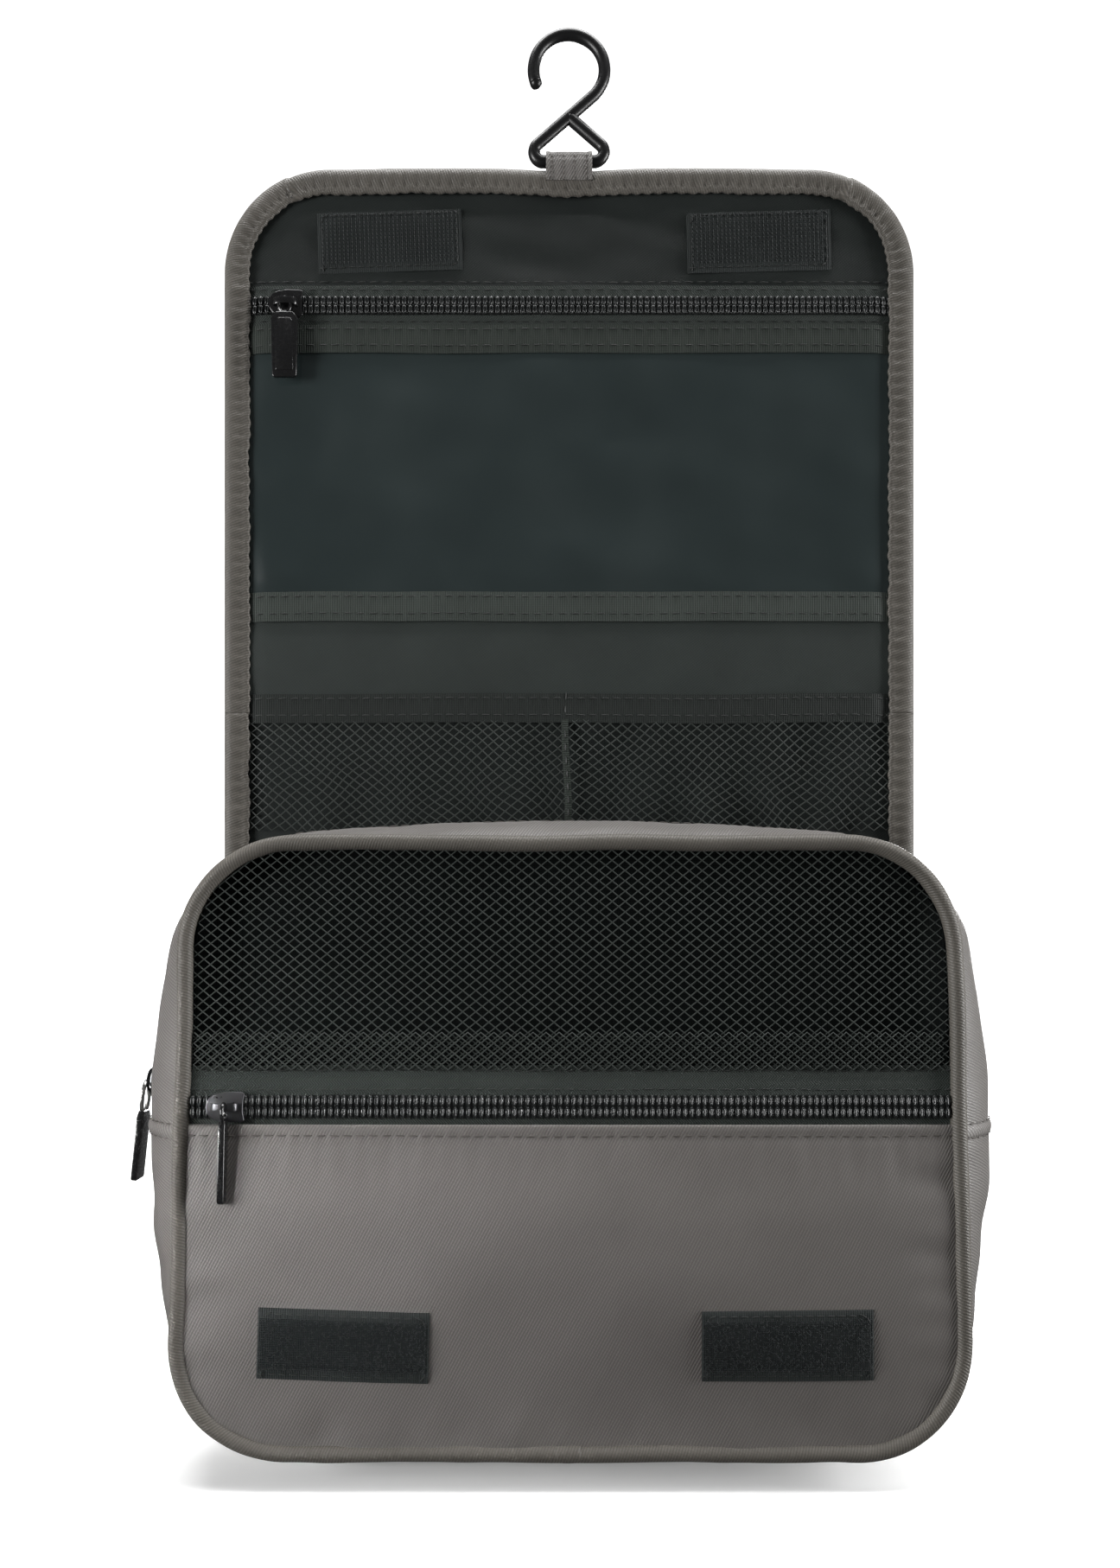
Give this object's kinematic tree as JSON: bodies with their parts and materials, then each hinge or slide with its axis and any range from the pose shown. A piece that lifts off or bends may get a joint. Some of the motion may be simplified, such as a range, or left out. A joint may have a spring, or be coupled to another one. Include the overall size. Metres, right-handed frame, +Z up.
{
  "type": "hanging toiletry bag",
  "caption": "Soft zipped toiletry bag with a padded fold-over flap that hangs from a steel hook; clear window pocket, mesh pockets and a zipped front pocket.",
  "frame": {"origin": "the lowest point of the inside of the hook's bow top, where the hook rests on a rail", "axes": "+Z up, +Y from the front to the back, +X to the right seen from the front"},
  "size_m": [0.2792, 0.0652, 0.4814],
  "materials": {
    "shell_fabric": "taupe-grey satin twill",
    "foam": "closed-cell foam sheet",
    "lining_fabric": "charcoal plain-weave nylon",
    "woven_tape": "charcoal grosgrain and herringbone tape",
    "hook_and_loop": "black hook and loop tape",
    "coil_nylon": "black nylon coil",
    "net": "black diamond net",
    "black_enamel": "gloss black enamel on zinc",
    "hook_enamel": "gloss black enamel on steel wire",
    "clear_film": "clear glossy film",
    "gunmetal": "dark plated zinc"
  },
  "bodies": {
    "hook": {"hook": "hook_enamel"},
    "flap_upper": {"flap_shell_upper": "shell_fabric", "flap_padding_upper": "foam", "flap_lining_upper": "lining_fabric", "flap_binding_upper": "shell_fabric", "hanger_loop": "shell_fabric", "flap_zip_tape_top": "woven_tape", "flap_zip_tape_bottom": "woven_tape", "flap_zip_coils": "coil_nylon", "flap_zip_stops": "coil_nylon", "window_film": "clear_film", "window_ribbon_top": "woven_tape", "window_ribbon_bottom": "woven_tape", "flap_hook_tapes": "hook_and_loop"},
    "flap_lower": {"flap_shell_lower": "shell_fabric", "flap_padding_lower": "foam", "flap_lining_lower": "lining_fabric", "flap_bindings_lower": "shell_fabric", "mesh_pocket_ribbon": "woven_tape", "mesh_pocket_net": "net", "mesh_pocket_seam": "woven_tape"},
    "flap_zip_slider": {"flap_zip_slider": "black_enamel"},
    "flap_zip_pull": {"flap_zip_pull": "black_enamel"},
    "front_top": {"front_net_panel": "net", "front_piping_upper": "shell_fabric", "gusset_front_strip": "shell_fabric", "gusset_zip_tape_front": "woven_tape", "gusset_zip_coil_front": "coil_nylon", "divider_upper": "lining_fabric"},
    "front_zip_slider": {"front_zip_slider": "gunmetal"},
    "front_zip_pull": {"front_zip_pull": "black_enamel"},
    "gusset_zip_slider": {"gusset_zip_slider": "black_enamel"},
    "gusset_zip_pull": {"gusset_zip_pull": "black_enamel"},
    "body": {"back_shell": "shell_fabric", "back_padding": "foam", "back_lining": "lining_fabric", "back_bindings": "shell_fabric", "back_piping": "shell_fabric", "gusset_lower": "shell_fabric", "gusset_lining_lower": "lining_fabric", "gusset_back_strip": "shell_fabric", "gusset_zip_tape_back": "woven_tape", "gusset_zip_coil_back": "coil_nylon", "gusset_front_ends": "shell_fabric", "gusset_zip_front_ends": "woven_tape", "side_seam_bands": "shell_fabric", "front_lower_panel": "shell_fabric", "front_loop_tapes": "hook_and_loop", "front_piping_lower": "shell_fabric", "front_zip_tape_top": "woven_tape", "front_zip_tape_bottom": "woven_tape", "front_zip_coils": "coil_nylon", "front_zip_stops": "coil_nylon", "divider_lower": "lining_fabric"}
  },
  "joints": [
    {"name": "hook_swing", "type": "hinge", "parent": "hook", "child": "flap_upper", "pos_m": [0, 0, -0.0423], "axis": [-1, 0, 0], "range_deg": [-100, 100]},
    {"name": "cover_fold", "type": "hinge", "parent": "flap_upper", "child": "flap_lower", "pos_m": [0, -0.0015, -0.2185], "axis": [1, 0, 0], "range_deg": [-85, 0]},
    {"name": "body_fold", "type": "hinge", "parent": "flap_lower", "child": "body", "pos_m": [0, -0.0015, -0.271], "axis": [1, 0, 0], "range_deg": [-90, 0]},
    {"name": "mouth_open", "type": "hinge", "parent": "body", "child": "front_top", "pos_m": [0, -0.05291, -0.35243], "axis": [1, 0, 0], "range_deg": [0, 60]},
    {"name": "flap_slider_run", "type": "slide", "parent": "flap_upper", "child": "flap_zip_slider", "axis": [1, 0, 0], "range_m": [0, 0.2]},
    {"name": "flap_pull_swing", "type": "hinge", "parent": "flap_zip_slider", "child": "flap_zip_pull", "pos_m": [-0.0979, -0.00675, -0.0939], "axis": [-1, 0, 0], "range_deg": [0, 150]},
    {"name": "front_slider_run", "type": "slide", "parent": "body", "child": "front_zip_slider", "axis": [1, 0, 0], "range_m": [0, 0.2129]},
    {"name": "front_pull_swing", "type": "hinge", "parent": "front_zip_slider", "child": "front_zip_pull", "pos_m": [-0.10585, -0.05575, -0.36488], "axis": [-1, 0, 0], "range_deg": [0, 90]},
    {"name": "gusset_slider_run", "type": "slide", "parent": "body", "child": "gusset_zip_slider", "axis": [0.1002, 0, 0.995], "range_m": [0, 0.025]},
    {"name": "gusset_pull_swing", "type": "hinge", "parent": "gusset_zip_slider", "child": "gusset_zip_pull", "pos_m": [-0.13852, -0.0225, -0.36139], "axis": [0, 1, 0], "range_deg": [0, 120]}
  ]
}
